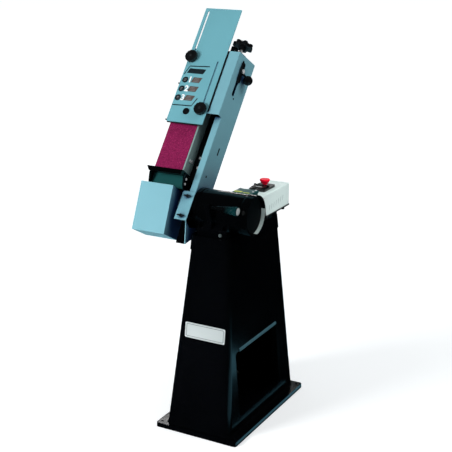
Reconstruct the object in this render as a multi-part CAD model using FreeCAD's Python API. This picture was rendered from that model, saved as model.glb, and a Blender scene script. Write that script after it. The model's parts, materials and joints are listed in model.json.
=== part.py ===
import FreeCAD, Part

import math
import os

# Belt disc sander on a pedestal: a tilting belt arm, a motor across the top, a disc at the motor's other end.
# Frame: origin at the centre of the base plate's underside, +Z up, -Y towards the operator,
# +X along the motor axis from the belt arm (left) to the disc (right). Millimetres.

V = FreeCAD.Vector

# ---- driving dimensions ----
BASE_W, BASE_D, BASE_T = 342.0, 573.0, 18.0
ANCHOR_X, ANCHOR_Y, ANCHOR_R = 306.0, 537.0, 6.0
FOOT_W, FOOT_D = 273.0, 535.0
TOP_W, TOP_D, TOP_Y = 165.0, 408.0, 28.0
SKIRT_Z, CAP_Z = 691.0, 744.0
COLUMN_WALL, COLUMN_CORNER = 3.0, 20.0
CAP_PROUD = 3.0
HATCH_Z0, HATCH_Z1, HATCH_Y0, HATCH_Y1 = 62.0, 322.0, -183.0, 158.0
HATCH_RETURN = 24.0

AXIS_Y, AXIS_Z = -70.0, 820.0
TILT = 38.5
MOTOR_R, FLANGE_R, MOTOR_WALL = 74.0, 75.9, 4.0
FLANGE_X0, HOUSING_X0, HOUSING_X1, REAR_X1, CUP_X1 = -88.9, -70.0, 88.0, 100.0, 136.0
SHAFT_R, GAP = 12.5, 0.05
SPIGOT_R = 38.0
CUP_R, DISC_R = 76.0, 69.0
HUB_R, HUB_FLANGE_R, HUB_BORE_R = 50.0, 56.0, 42.0
CLAMP_BOLT_X, CLAMP_BOLT_Z, CLAMP_BOLT_R, CLAMP_BOLT_ACROSS = 36.0, 11.0, 4.0, 12.0
CABLE_X, CABLE_Z, CABLE_R = 32.0, 794.0, 6.0

BELT_X0, BELT_X1, BELT_T = -297.0, -177.0, 1.5
DRUM_R, IDLER_R, IDLER_L = 75.0, 26.0, 552.0
IDLER_N = IDLER_R - DRUM_R
IDLER_SHAFT_R = 8.0

SIDE_X, SHEET = -92.0, 3.0
LEFT_X = -303.0
STRIP_X = -142.0
LIP_X = -118.0
FRONT_N, BACK_N = -73.0, 41.0
COVER_N, COVER_L0 = -98.0, 338.0
COVER_TOP_FRONT, COVER_TOP_BACK = 606.0, 628.0
PANEL_END_L = -85.0
COVER_T = 2.0
SLOT_L0, SLOT_L1, SLOT_W = 444.0, 597.0, 17.0
SIDE_PLATE_X0, SIDE_PLATE_X1 = -176.0, -170.0
BRACKET_X = -142.0
BAR_N0, BAR_N1 = -24.0, 14.0
BOX_RIGHT = -166.0
PORT_R, PORT_N1, PORT_L = 30.0, 130.0, -24.0

GUARD_L0, GUARD_L1, GUARD_T, GUARD_X1 = 288.0, 789.0, 3.0, -144.0
STUD_R = 3.0
KNOB_R, PLUG_R = 24.5, 13.0
UPPER_KNOB = (-286.0, 566.0)
LOWER_KNOB = (-170.0, 348.0)
SLOT_TRAVEL = 206.0

TABLE_L, TABLE_T = 85.0, 4.0
STRIP_N0, STRIP_N1, STRIP_L0 = -84.0, -81.0, 30.0

ROD_X, ROD_N, ROD_R = -112.0, -60.0, 6.0
CARRIAGE_TOP = 590.0
SWITCH_X0, SWITCH_X1 = -20.0, 84.0
SWITCH_Z0, SWITCH_Z1 = 764.0, 848.0
MUSHROOM_R, MUSHROOM_NECK_R = 20.0, 12.0
HANDLE_Y, HANDLE_Z = -160.0, 856.0
EAR_X0, EAR_X1 = -18.0, -2.0


# ---- helpers ----
def box(x0, x1, y0, y1, z0, z1):
    return Part.makeBox(x1 - x0, y1 - y0, z1 - z0, V(x0, y0, z0))


def rod(x0, x1, y, z, r):
    """Cylinder along X."""
    return Part.makeCylinder(r, x1 - x0, V(x0, y, z), V(1, 0, 0))


def ring(x0, x1, y, z, r_out, r_in):
    """Tube along X."""
    return rod(x0, x1, y, z, r_out).cut(rod(x0, x1, y, z, r_in))


def post(x, y, z0, z1, r):
    """Cylinder along Z."""
    return Part.makeCylinder(r, z1 - z0, V(x, y, z0), V(0, 0, 1))


def pin_y(x, y0, y1, z, r):
    """Cylinder along Y."""
    return Part.makeCylinder(r, y1 - y0, V(x, y0, z), V(0, 1, 0))


def plate(outline, x0, x1):
    """Flat plate: an outline of (Y, Z) points, extruded along X."""
    points = [V(x0, y, z) for y, z in outline]
    return Part.Face(Part.makePolygon(points + points[:1])).extrude(V(x1 - x0, 0, 0))


def hexagon(x, y, z, across, height, direction):
    """Hexagon head whose base is centred on a point."""
    corner = across / math.sqrt(3.0)
    points = []
    for k in range(7):
        angle = math.radians(60.0 * k + 30.0)
        points.append(V(corner * math.cos(angle), corner * math.sin(angle), 0))
    head = Part.Face(Part.makePolygon(points)).extrude(V(0, 0, height))
    head.Placement = FreeCAD.Placement(V(x, y, z), FreeCAD.Rotation(V(0, 0, 1), direction))
    return head


def bolt(x, y, z, direction, r, length, across, height):
    """Bolt whose head stands on a face at the point and whose shank runs back into it."""
    shank = Part.makeCylinder(r, length, V(x, y, z) - direction * length, direction)
    return hexagon(x, y, z, across, height, direction).fuse(shank).removeSplitter()


def round_screw(x, y, z, direction, r, length, head_r, height):
    shank = Part.makeCylinder(r, length, V(x, y, z) - direction * length, direction)
    head = Part.makeCylinder(head_r, height, V(x, y, z), direction)
    head = head.makeFillet(min(height * 0.45, 1.2), [head.Edges[0]])
    return head.fuse(shank).removeSplitter()


def upright_edges(shape):
    return [e for e in shape.Edges if abs(e.Vertexes[0].Z - e.Vertexes[-1].Z) > 1.0]


def tapered(width0, depth0, width1, depth1, y1, z0, z1, radius):
    """Tapered block with rounded upright corners."""
    wires = []
    for w, d, y, z in ((width0, depth0, 0.0, z0), (width1, depth1, y1, z1)):
        flat = box(-w / 2, w / 2, y - d / 2, y + d / 2, z, z + 10)
        flat = flat.makeFillet(radius, upright_edges(flat))
        wires.append(min(flat.Faces, key=lambda f: f.CenterOfMass.z).OuterWire)
    return Part.makeLoft(wires, True, True)


def rounded(shape, radius):
    """Round the four upright edges of a block."""
    return shape.makeFillet(radius, upright_edges(shape))


def arm(shape):
    """Lean a part of the arm back from upright, about the motor axis."""
    shape = shape.copy()
    shape.rotate(V(0, 0, 0), V(1, 0, 0), -TILT)
    shape.translate(V(0, AXIS_Y, AXIS_Z))
    return shape


def motor(shape):
    """Move a part drawn about the X axis onto the motor axis."""
    shape = shape.copy()
    shape.translate(V(0, AXIS_Y, AXIS_Z))
    return shape


def group(shapes):
    return Part.makeCompound(shapes)


# ---- pedestal ----
def foot_points():
    return [(sx * 108.0, sy * 236.0) for sx in (-1, 1) for sy in (-1, 1)]


def column_size(z):
    """Width, depth and Y centre of the column at a height."""
    t = (z - BASE_T) / (SKIRT_Z - BASE_T)
    return FOOT_W + t * (TOP_W - FOOT_W), FOOT_D + t * (TOP_D - FOOT_D), t * TOP_Y


def column_block(inset, z0, z1):
    w0, d0, y0 = column_size(z0)
    w1, d1, y1 = column_size(z1)
    block = tapered(w0 - 2 * inset, d0 - 2 * inset, w1 - 2 * inset, d1 - 2 * inset, y1 - y0,
                    z0, z1, COLUMN_CORNER - inset)
    block.translate(V(0, y0, 0))
    return block


def base_plate():
    slab = box(-BASE_W / 2, BASE_W / 2, -BASE_D / 2, BASE_D / 2, 0, BASE_T)
    slab = rounded(slab, 8.0)
    for sx in (-1, 1):
        for sy in (-1, 1):
            slab = slab.cut(post(sx * ANCHOR_X / 2, sy * ANCHOR_Y / 2, -1, BASE_T + 1, ANCHOR_R))
    for x, y in foot_points():
        slab = slab.cut(post(x, y, 2, BASE_T + 1, 5))
    return slab


def hatch_block(inset, radius):
    """Block with rounded corners that cuts the access opening in the column's right side."""
    block = box(40, 200, HATCH_Y0 + inset, HATCH_Y1 - inset, HATCH_Z0 + inset, HATCH_Z1 - inset)
    return block.makeFillet(radius, [e for e in block.Edges if abs(e.Vertexes[0].X - e.Vertexes[-1].X) > 1])


def stand_column():
    top = CAP_Z - 4.0
    shell = column_block(0, BASE_T, top).cut(column_block(COLUMN_WALL, BASE_T - 1, top + 1))
    floor = column_block(COLUMN_WALL - 0.5, BASE_T, BASE_T + 4)
    w, d, _ = column_size(BASE_T)
    floor = floor.cut(box(-w / 2 + 50, w / 2 - 50, -d / 2 + 60, d / 2 - 60, 0, 60))
    for x, y in foot_points():
        floor = floor.cut(post(x, y, 0, 60, 5.05))
    hatch = hatch_block(0, 18)
    inner = hatch_block(3, 15)
    deep = column_block(0, BASE_T, top)
    deep.translate(V(-HATCH_RETURN, 0, 0))
    frame = hatch.cut(inner).common(column_block(0, BASE_T, top)).cut(deep)
    return shell.cut(hatch).fuse(floor).fuse(frame).removeSplitter()


def stand_cap():
    w, d, y = column_size(SKIRT_Z)
    outer = tapered(w + 2 * CAP_PROUD, d + 2 * CAP_PROUD, w - 2, d - 4, 0, SKIRT_Z, CAP_Z, COLUMN_CORNER)
    outer.translate(V(0, y, 0))
    solid = outer.cut(column_block(-0.05, SKIRT_Z - 20, CAP_Z - 4))
    for px, py in cradle_points():
        solid = solid.cut(post(px, py, CAP_Z - 20, CAP_Z + 1, 5.05))
    return solid


def cradle_points():
    return [(sx * 48.0, AXIS_Y + sy * 72.0) for sx in (-1, 1) for sy in (-1, 1)]


def clamp_ear():
    """Upright ear at the saddle's front that carries the clamp handle's stud."""
    outline = [(-154, CAP_Z + 2), (-154, CAP_Z + 46), (HANDLE_Y - 13, HANDLE_Z - 4),
               (HANDLE_Y - 13, HANDLE_Z + 10), (HANDLE_Y - 6, HANDLE_Z + 14), (HANDLE_Y + 9, HANDLE_Z + 8),
               (-138, CAP_Z + 40), (-138, CAP_Z + 2)]
    return plate(outline, EAR_X0, EAR_X1)


def motor_cradle():
    saddle = box(-60, 60, AXIS_Y - 84, AXIS_Y + 84, CAP_Z, CAP_Z + 46)
    top_edges = [e for e in saddle.Edges if e.BoundBox.ZMin > CAP_Z + 45 and e.BoundBox.XLength > 50]
    saddle = saddle.makeChamfer(20, top_edges)
    saddle = saddle.cut(rod(-70, 70, AXIS_Y, AXIS_Z, MOTOR_R))
    saddle = saddle.cut(box(-44, 44, AXIS_Y - 60, AXIS_Y + 60, CAP_Z - 1, CAP_Z + 20))
    for px, py in cradle_points():
        saddle = saddle.cut(post(px, py, CAP_Z - 1, CAP_Z + 60, 5.05))
        saddle = saddle.cut(post(px, py, CAP_Z + 14, CAP_Z + 60, 10))
    saddle = saddle.fuse(clamp_ear().cut(rod(-70, 70, AXIS_Y, AXIS_Z, MOTOR_R)))
    saddle = saddle.cut(rod(EAR_X0 - 1, EAR_X1 + 1, HANDLE_Y, HANDLE_Z, 5 + GAP))
    bolt_hole = pin_y(CLAMP_BOLT_X, AXIS_Y - 90, AXIS_Y - 62, CAP_Z + CLAMP_BOLT_Z, CLAMP_BOLT_R + GAP)
    return saddle.cut(bolt_hole).removeSplitter()


def stand_bolts():
    up = V(0, 0, 1)
    parts = [bolt(x, y, BASE_T + 4, up, 5, 17, 17, 7) for x, y in foot_points()]
    parts += [bolt(x, y, CAP_Z + 14, up, 5, 26, 15, 6) for x, y in cradle_points()]
    parts.append(bolt(CLAMP_BOLT_X, AXIS_Y - 84, CAP_Z + CLAMP_BOLT_Z, V(0, -1, 0),
                      CLAMP_BOLT_R, 20, CLAMP_BOLT_ACROSS, 5.5))
    return group(parts)


# ---- motor, fixed to the pedestal ----
def motor_housing():
    shell = ring(HOUSING_X0, HOUSING_X1, 0, 0, MOTOR_R, MOTOR_R - MOTOR_WALL)
    shell = shell.cut(rod(HOUSING_X0 - 1, HOUSING_X0 + 6, 0, 0, MOTOR_R - 2))
    shell = shell.cut(rod(HOUSING_X1 - 6, HOUSING_X1 + 1, 0, 0, MOTOR_R - 2))
    return motor(shell.removeSplitter())


def rim_edges(solid, x):
    """Edges that lie flat in the plane at x."""
    return [e for e in solid.Edges if abs(e.BoundBox.XMin - x) < 0.1 and e.BoundBox.XLength < 1]


def bearing_seat(solid, x0, x1):
    return solid.cut(rod(x0, x1, 0, 0, 31))


def drive_end_shield():
    solid = rod(FLANGE_X0, HOUSING_X0, 0, 0, FLANGE_R)
    solid = solid.makeFillet(7, rim_edges(solid, HOUSING_X0))
    solid = solid.fuse(rod(HOUSING_X0, HOUSING_X0 + 6, 0, 0, MOTOR_R - 2))
    solid = solid.fuse(rod(SIDE_X - SHEET - 9, FLANGE_X0, 0, 0, SPIGOT_R - GAP))
    solid = bearing_seat(solid, -80, -60)
    solid = solid.cut(rod(-110, -79, 0, 0, SHAFT_R + 4))
    return motor(solid.removeSplitter())


def rear_end_shield():
    solid = rod(HOUSING_X1, REAR_X1, 0, 0, MOTOR_R).fuse(rod(HOUSING_X1 - 6, HOUSING_X1, 0, 0, MOTOR_R - 2))
    solid = bearing_seat(solid, 80, 96).cut(rod(95, 110, 0, 0, SHAFT_R + 2))
    for y, z in cup_screw_points():
        solid = solid.cut(rod(90, 110, y, z, 3.05))
    return motor(solid.removeSplitter())


def motor_bearings():
    return group([motor(ring(x, x + 16, 0, 0, 31, SHAFT_R + GAP)) for x in (-79.0, 80.0)])


def stator_core():
    return motor(ring(-45, 66, 0, 0, MOTOR_R - MOTOR_WALL, 45))


def stator_windings():
    return group([motor(ring(x0, x1, 0, 0, 66, 49)) for x0, x1 in ((-57, -45), (66, 78))])


def cup_screw_points():
    return [(48 * math.cos(math.radians(a)), 48 * math.sin(math.radians(a))) for a in (90, 210, 330)]


def disc_guard_cup():
    solid = rod(REAR_X1, CUP_X1, 0, 0, CUP_R)
    solid = solid.makeFillet(9, rim_edges(solid, REAR_X1))
    solid = solid.cut(rod(REAR_X1 + 4, CUP_X1 + 1, 0, 0, CUP_R - 4)).cut(rod(90, 110, 0, 0, 30))
    for y, z in cup_screw_points():
        solid = solid.cut(rod(90, 110, y, z, 3.05))
    return motor(solid)


def terminal_box():
    solid = box(18, 96, 36, 94, 22, 64)
    solid = solid.makeFillet(5, solid.Edges)
    cavity = box(22, 92, 40, 90, 28, 66)
    solid = solid.cut(cavity).cut(rod(-100, 110, 0, 0, MOTOR_R))
    return motor(solid.cut(box(0, 120, 0, 100, 60, 80)))


def terminal_box_lid():
    lid = box(17, 97, 35, 95, 60, 68)
    side_edges = [e for e in lid.Edges if e.BoundBox.ZMin > 67]
    lid = lid.makeFillet(3, side_edges)
    lid = lid.cut(rod(-100, 110, 0, 0, MOTOR_R))
    for x, y in lid_screw_points():
        lid = lid.cut(post(x, y, 50, 80, 2.05))
    return motor(lid)


def lid_screw_points():
    return [(x, y) for x in (24.0, 90.0) for y in (64.0, 88.0)]


# ---- switch box ----
def switch_profile(inset):
    """Side outline: upright back, level top, nose slanted under."""
    low, high = SWITCH_Z0 + inset, SWITCH_Z1 - inset
    return [(118 + inset, low), (80 + inset * 1.5, high - 4), (84 + inset, high), (314 - inset, high),
            (314 - inset, low)]


def switch_box_shell():
    solid = plate(switch_profile(0), SWITCH_X0, SWITCH_X1)
    long_edges = [e for e in solid.Edges if e.BoundBox.ZMin > SWITCH_Z1 - 0.1 and e.BoundBox.YLength > 100]
    corner_edges = [e for e in solid.Edges if e.BoundBox.YMin > 313.9 and e.BoundBox.ZLength > 50]
    solid = solid.makeFillet(4, long_edges + corner_edges)
    inside = plate(switch_profile(3), SWITCH_X0 + 3, SWITCH_X1 - 3)
    solid = solid.cut(inside).cut(box(SWITCH_X0 + 3, SWITCH_X1 - 3, 124, 311, SWITCH_Z0 - 1, SWITCH_Z0 + 5))
    solid = solid.cut(box(2, 56, 148, 226, SWITCH_Z1 - 10, SWITCH_Z1 + 1))
    for y, z in shell_screw_points():
        solid = solid.cut(rod(SWITCH_X1 - 4, SWITCH_X1 + 1, y, z, 2.05))
    return solid.cut(pin_y(CABLE_X, 80, 130, CABLE_Z, CABLE_R + 6))


def shell_screw_points():
    return [(92.0, 838.0), (304.0, 776.0)]


def switch_box_base():
    solid = rounded(box(SWITCH_X0 - 2, SWITCH_X1 + 2, 112, 316, SWITCH_Z0 - 5, SWITCH_Z0), 4)
    for x in (-6, 70):
        for y in (136, 214):
            solid = solid.fuse(post(x, y, CAP_Z, SWITCH_Z0 - 4, 9))
    solid = solid.fuse(post(66, 292, SWITCH_Z0 - 20, SWITCH_Z0 - 4, 8))
    solid = solid.cut(post(66, 292, SWITCH_Z0 - 30, SWITCH_Z0 + 1, 5))
    return solid.removeSplitter()


def switch_body():
    solid = rounded(box(-4, 62, 140, 234, SWITCH_Z1, SWITCH_Z1 + 9), 5)
    solid = solid.fuse(box(2.2, 55.8, 148.2, 225.8, SWITCH_Z1 - 30, SWITCH_Z1))
    solid = solid.cut(post(29, 209, SWITCH_Z1 - 12, SWITCH_Z1 + 20, 9.05))
    solid = solid.cut(rounded(box(12.9, 45.1, 150.9, 175.1, SWITCH_Z1 - 10, SWITCH_Z1 + 20), 2))
    for x in (-0.5, 58.5):
        solid = solid.fuse(box(x - 2.5, x + 2.5, 178, 188, SWITCH_Z1 + 8, SWITCH_Z1 + 17))
    solid = solid.cut(rod(-10, 70, 183, SWITCH_Z1 + 13, 2.05))
    return solid.removeSplitter()


def stop_button():
    """Mushroom head that flares out to its widest near the top."""
    stem = post(29, 209, SWITCH_Z1 - 8, SWITCH_Z1 + 17, 9)
    flare = Part.makeCone(MUSHROOM_NECK_R, MUSHROOM_R, 12, V(29, 209, SWITCH_Z1 + 15), V(0, 0, 1))
    head = flare.fuse(post(29, 209, SWITCH_Z1 + 27, SWITCH_Z1 + 33, MUSHROOM_R)).removeSplitter()
    top = [e for e in head.Edges if e.BoundBox.ZMin > SWITCH_Z1 + 32]
    head = head.makeFillet(4.5, top)
    return stem.fuse(head).removeSplitter()


def start_button():
    return rounded(box(13, 45, 151, 175, SWITCH_Z1 - 4, SWITCH_Z1 + 11), 2)


def switch_flap():
    """Hinged frame that lies round the start key."""
    frame = rounded(box(3, 55, 143, 182, SWITCH_Z1 + 12, SWITCH_Z1 + 15), 3)
    frame = frame.cut(rounded(box(14, 44, 151, 173, SWITCH_Z1 + 5, SWITCH_Z1 + 20), 2))
    barrel = rod(2.2, 55.8, 183, SWITCH_Z1 + 13, 4)
    pins = rod(-3, 61, 183, SWITCH_Z1 + 13, 2)
    frame = frame.fuse(box(6, 52, 176, 183, SWITCH_Z1 + 12, SWITCH_Z1 + 15))
    return frame.fuse(barrel).fuse(pins).removeSplitter()


def motor_cable():
    """Cable from the back of the terminal box down into the switch box."""
    start = V(57, 24, 862)
    drop = [V(57, 42, 861), V(50, 58, 836), V(40, 70, 804)]
    run_in = [V(CABLE_X, y, CABLE_Z) for y in (86, 102, 118)]
    path = Part.BSplineCurve()
    path.interpolate([start] + drop + run_in)
    profile = Part.Wire(Part.makeCircle(CABLE_R, start, path.tangent(path.FirstParameter)[0]))
    cable = Part.Wire(path.toShape()).makePipeShell([profile], True, False)
    return cable.cut(box(0, 110, -40, 24, 830, 900))


def small_screws():
    right = V(1, 0, 0)
    parts = [motor(round_screw(REAR_X1 + 4, y, z, right, 3, 12, 6, 3)) for y, z in cup_screw_points()]
    parts += [motor(round_screw(x, y, 68, V(0, 0, 1), 2, 7.9, 4, 2)) for x, y in lid_screw_points()]
    parts += [round_screw(SWITCH_X1, y, z, right, 2, 2.9, 4.5, 2.2) for y, z in shell_screw_points()]
    return group(parts)


def clamp_handle():
    y, z = HANDLE_Y, HANDLE_Z
    stud = rod(EAR_X0 - 6, 24, y, z, 5)
    grip = Part.makeCone(8, 16, 76, V(22, y, z), V(1, 0, 0))
    end = rod(98, 110, y, z, 17)
    rim = [e for e in end.Edges if e.BoundBox.XMin > 109.5]
    return stud.fuse(grip).fuse(end.makeFillet(3, rim)).removeSplitter()


# ---- rotor ----
def motor_shaft():
    """One shaft from the belt drum on the left to the disc on the right."""
    return motor(rod(BELT_X0 - 4, 120, 0, 0, SHAFT_R))


def rotor_core():
    return motor(ring(-45, 66, 0, 0, 44.6, SHAFT_R))


def drive_drum():
    rim = ring(BELT_X0, BELT_X1, 0, 0, DRUM_R - 8, DRUM_R - 14)
    web = ring(-245, -229, 0, 0, DRUM_R - 13, SHAFT_R)
    hub = ring(-285, -189, 0, 0, 24, SHAFT_R)
    solid = rim.fuse(web).fuse(hub).removeSplitter()
    for k in range(6):
        angle = math.radians(60 * k)
        solid = solid.cut(rod(-250, -220, 43 * math.cos(angle), 43 * math.sin(angle), 10))
    return motor(solid)


def drum_rubber():
    return motor(ring(BELT_X0, BELT_X1, 0, 0, DRUM_R, DRUM_R - 8))


def disc_plate():
    solid = rod(112, 120, 0, 0, DISC_R).fuse(rod(105, 113, 0, 0, 24))
    return motor(solid.cut(rod(100, 121, 0, 0, SHAFT_R)).removeSplitter())


def sanding_disc():
    return motor(rod(120, 121.5, 0, 0, DISC_R))


# ---- arm ----
def tangent_normal():
    """Unit normal (n, l) of the belt's rear run, which slopes from the drum to the smaller idler."""
    length = math.hypot(IDLER_N, IDLER_L)
    u = (IDLER_N / length, IDLER_L / length)
    s = (DRUM_R - IDLER_R) / length
    c = math.sqrt(1 - s * s)
    return (u[1] * c + u[0] * s, -u[0] * c + u[1] * s)


def belt_loop(offset):
    """Closed belt path round drum and idler, at an offset outside them."""
    nn, nl = tangent_normal()
    r0, r1 = DRUM_R + offset, IDLER_R + offset
    front0, front1 = V(0, -r0, 0), V(0, IDLER_N - r1, IDLER_L)
    rear1 = V(0, IDLER_N + r1 * nn, IDLER_L + r1 * nl)
    rear0 = V(0, r0 * nn, r0 * nl)
    over = V(0, IDLER_N, IDLER_L + r1)
    under = V(0, 0, -r0)
    edges = [Part.makeLine(front0, front1), Part.Arc(front1, over, rear1).toShape(),
             Part.makeLine(rear1, rear0), Part.Arc(rear0, under, front0).toShape()]
    return Part.Wire(edges)


def sanding_belt():
    outer = Part.Face(belt_loop(GAP + BELT_T)).extrude(V(BELT_X1 - BELT_X0, 0, 0))
    inner = Part.Face(belt_loop(GAP)).extrude(V(BELT_X1 - BELT_X0, 0, 0))
    loop = outer.cut(inner)
    loop.translate(V(BELT_X0, 0, 0))
    return arm(loop)


def slot_x(n, l0, l1, width, x0, x1):
    """Slot through the side panel, along the arm."""
    half = width / 2
    solid = box(x0, x1, n - half, n + half, l0 + half, l1 - half)
    return solid.fuse(rod(x0, x1, n, l0 + half, half)).fuse(rod(x0, x1, n, l1 - half, half))


def arm_panel():
    outline = [(FRONT_N, PANEL_END_L), (FRONT_N, COVER_L0), (COVER_N + COVER_T, COVER_L0),
               (COVER_N + COVER_T, cover_top_l(COVER_N + COVER_T)), (BACK_N, COVER_TOP_BACK), (BACK_N, -100),
               (-3, -136), (-26, -159)]
    side = plate(outline, SIDE_X - SHEET, SIDE_X)
    lip = box(LIP_X, SIDE_X, FRONT_N, FRONT_N + SHEET, PANEL_END_L, COVER_L0)
    back = box(STRIP_X, SIDE_X, BACK_N - SHEET, BACK_N, -100, COVER_TOP_BACK - 0.5)
    solid = side.fuse(lip).fuse(back).removeSplitter()
    outer_edges = [e for e in solid.Edges
                   if e.BoundBox.XMin > SIDE_X - 0.1 and e.BoundBox.ZLength > 300
                   and (abs(e.BoundBox.YMin - FRONT_N) < 0.1 or abs(e.BoundBox.YMax - BACK_N) < 0.1)]
    solid = solid.makeFillet(2.8, outer_edges)
    solid = solid.cut(rod(-200, 0, 0, 0, SPIGOT_R))
    solid = solid.cut(rod(STRIP_X - 1, SIDE_X - SHEET, 0, 0, HUB_FLANGE_R + GAP))
    solid = solid.cut(slot_x(IDLER_N, SLOT_L0, SLOT_L1, SLOT_W, -100, -80))
    solid = solid.cut(slot_x(-13, 208, 240, 9, -100, -80))
    solid = solid.cut(rod(-100, -80, -39, 108, 5))
    solid = solid.cut(rod(-100, -80, -35, 440, 4.5))
    for n, l in hub_screw_points():
        solid = solid.cut(rod(-100, -80, n, l, 3.05))
    return arm(solid)


def pivot_plate():
    """Plate on the arm's side that turns against the motor's flange."""
    outline = [(FRONT_N, 0), (FRONT_N, -88), (-35, -97), (BACK_N, -64), (BACK_N, 0)]
    disc = rod(SIDE_X, FLANGE_X0 - 0.1, 0, 0, FLANGE_R - 1)
    solid = plate(outline, SIDE_X, FLANGE_X0 - 0.1).fuse(disc)
    solid = solid.cut(box(-100, -80, -100, FRONT_N, -100, 100)).cut(rod(-100, -80, 0, 0, SPIGOT_R))
    return arm(solid.removeSplitter())


def hub_screw_points():
    return [(22.0, -94.0), (34.0, -76.0)]


def cover_top_l(n):
    share = (n - COVER_N) / (BACK_N - COVER_N)
    return COVER_TOP_FRONT + share * (COVER_TOP_BACK - COVER_TOP_FRONT)


def upper_cover():
    back = BACK_N - SHEET
    t = COVER_T
    outline = [(COVER_N, COVER_L0), (COVER_N, COVER_TOP_FRONT + t), (back, cover_top_l(back) + t),
               (back, COVER_L0)]
    block = plate(outline, LEFT_X, SIDE_X)
    fold = [e for e in block.Edges if e.BoundBox.XMin > SIDE_X - 0.1 and e.BoundBox.YMax < COVER_N + 0.1]
    block = block.makeFillet(1.8, fold)
    inside = [(COVER_N + t, COVER_L0 - 1), (COVER_N + t, COVER_TOP_FRONT), (back - t, cover_top_l(back - t)),
              (back - t, COVER_L0 - 1)]
    solid = block.cut(plate(inside, LEFT_X + t, SIDE_X - SHEET))
    front, rear = COVER_N + t, back + 9
    panel_space = [(front, COVER_L0 - 1), (front, cover_top_l(front)), (rear, cover_top_l(rear)),
                   (rear, COVER_L0 - 1)]
    solid = solid.cut(plate(panel_space, SIDE_X - SHEET - 0.01, SIDE_X + 1))
    for x, l in (UPPER_KNOB, LOWER_KNOB):
        solid = solid.cut(pin_y(x, COVER_N - 5, COVER_N + 5, l, STUD_R + GAP))
    return arm(solid.cut(post(ROD_X, ROD_N, 560, 660, ROD_R + 2)))


def rod_bracket():
    """Foot and guide block on top of the cover that carry the tension screw."""
    lifts = ((-92, 0), (-92, 5), (-40, 5), (-40, 0))
    foot = plate([(n, cover_top_l(n) + COVER_T + h) for n, h in lifts], -140, -98)
    block = plate([(-92, 609), (-92, 634), (-64, 636), (-64, 613)], -140, -124)
    cover_space = [(-100, 500), (-100, cover_top_l(-100) + COVER_T),
                   (-30, cover_top_l(-30) + COVER_T), (-30, 500)]
    solid = foot.fuse(block.cut(plate(cover_space, -150, -90)))
    return arm(solid.cut(post(ROD_X, ROD_N, 560, 660, ROD_R + GAP)).removeSplitter())


def lower_panel():
    solid = box(-143, SIDE_X, FRONT_N - 2, FRONT_N, PANEL_END_L, 28)
    for l in wing_screw_heights():
        solid = solid.cut(pin_y(-116, FRONT_N - 5, FRONT_N + 5, l, 3.05))
    return arm(solid)


def wing_screw_heights():
    return (7.0, -71.0)


def wing_screws():
    parts = []
    for l in wing_screw_heights():
        shank = pin_y(-116, FRONT_N - 3, FRONT_N - 0.05, l, 3)
        hub = pin_y(-116, FRONT_N - 12, FRONT_N - 2, l, 6)
        wings = box(-131, -101, FRONT_N - 15, FRONT_N - 6, l - 2, l + 2)
        corner = [e for e in wings.Edges if e.BoundBox.ZLength > 3]
        parts.append(arm(shank.fuse(hub).fuse(wings.makeFillet(4, corner)).removeSplitter()))
    return group(parts)


def arm_end_plate():
    """Closing plate under the lower panel, folded with the arm's lower end; it widens downwards."""
    outline = [(FRONT_N, PANEL_END_L), (FRONT_N + 2.4, PANEL_END_L), (-26, -155.5), (-3, -133),
               (-3, -136), (-26, -159)]
    solid = plate(outline, -140, SIDE_X - SHEET)
    top = PANEL_END_L + 1
    corners = [V(x, -80, z) for x, z in ((-141, top), (-108, top), (-132, -160), (-141, -160), (-141, top))]
    side = Part.Face(Part.makePolygon(corners))
    return arm(solid.cut(side.extrude(V(0, 100, 0))))


def arm_hub():
    """Tube round the shaft that joins the side panel to the dust box."""
    solid = ring(-164.4, SIDE_X - SHEET, 0, 0, HUB_R, HUB_BORE_R)
    solid = solid.fuse(ring(-105, SIDE_X - SHEET, 0, 0, HUB_FLANGE_R, HUB_BORE_R))
    foot = box(-105, SIDE_X - SHEET, 14, 37.8, -112, -30).cut(rod(-110, -90, 0, 0, HUB_BORE_R))
    solid = solid.fuse(foot)
    for n, l in hub_screw_points():
        solid = solid.cut(rod(-110, -90, n, l, 3.05))
    return arm(solid.removeSplitter())


def dust_box():
    t = 1.6
    outer = [(-120, 26), (-72, -150), (30, -132), (92, -70), (92, 40)]
    inner = [(-120 + t, 30), (-72 + t, -150 + t), (30 - t / 2, -132 + t), (92 - t, -70 + t), (92 - t, 44)]
    solid = plate(outer, LEFT_X, BOX_RIGHT + t).cut(plate(inner, LEFT_X + t, BOX_RIGHT))
    solid = solid.cut(plate([(-130, 26), (-130, 60), (100, 60), (100, 40.5)], LEFT_X - 1, BOX_RIGHT + 5))
    solid = solid.cut(rod(BOX_RIGHT - 2, BOX_RIGHT + 4, 0, 0, HUB_BORE_R))
    spout = pin_y(-235, 92 - t, PORT_N1, PORT_L, PORT_R)
    return arm(solid.fuse(spout).cut(pin_y(-235, 80, 140, PORT_L, PORT_R - 2.5)).removeSplitter())


def platen_mount():
    bar = box(SIDE_PLATE_X1, SIDE_X - SHEET, BAR_N0, BAR_N1, 58, 470)
    bar = bar.cut(box(SIDE_PLATE_X1 + 4, SIDE_X - SHEET - 4, BAR_N0 + 4, BAR_N1 - 4, 57, 471))
    for n, l in frame_screw_points():
        bar = bar.cut(rod(SIDE_PLATE_X1 - 1, SIDE_PLATE_X1 + 10, n, l, 3.05))
    for x, l in bar_bolt_points():
        bar = bar.cut(pin_y(x, BAR_N0 - 1, BAR_N0 + 5, l, 3.05))
    return arm(bar)


def bar_bolt_points():
    return [(-150.0, 184.0), (-147.0, 144.0)]


def side_screw_points():
    return [(-57.0, 154.0), (-41.0, 158.0)]


def frame_screw_points():
    return [(-5.0, 166.0), (-5.0, 430.0)]


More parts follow.
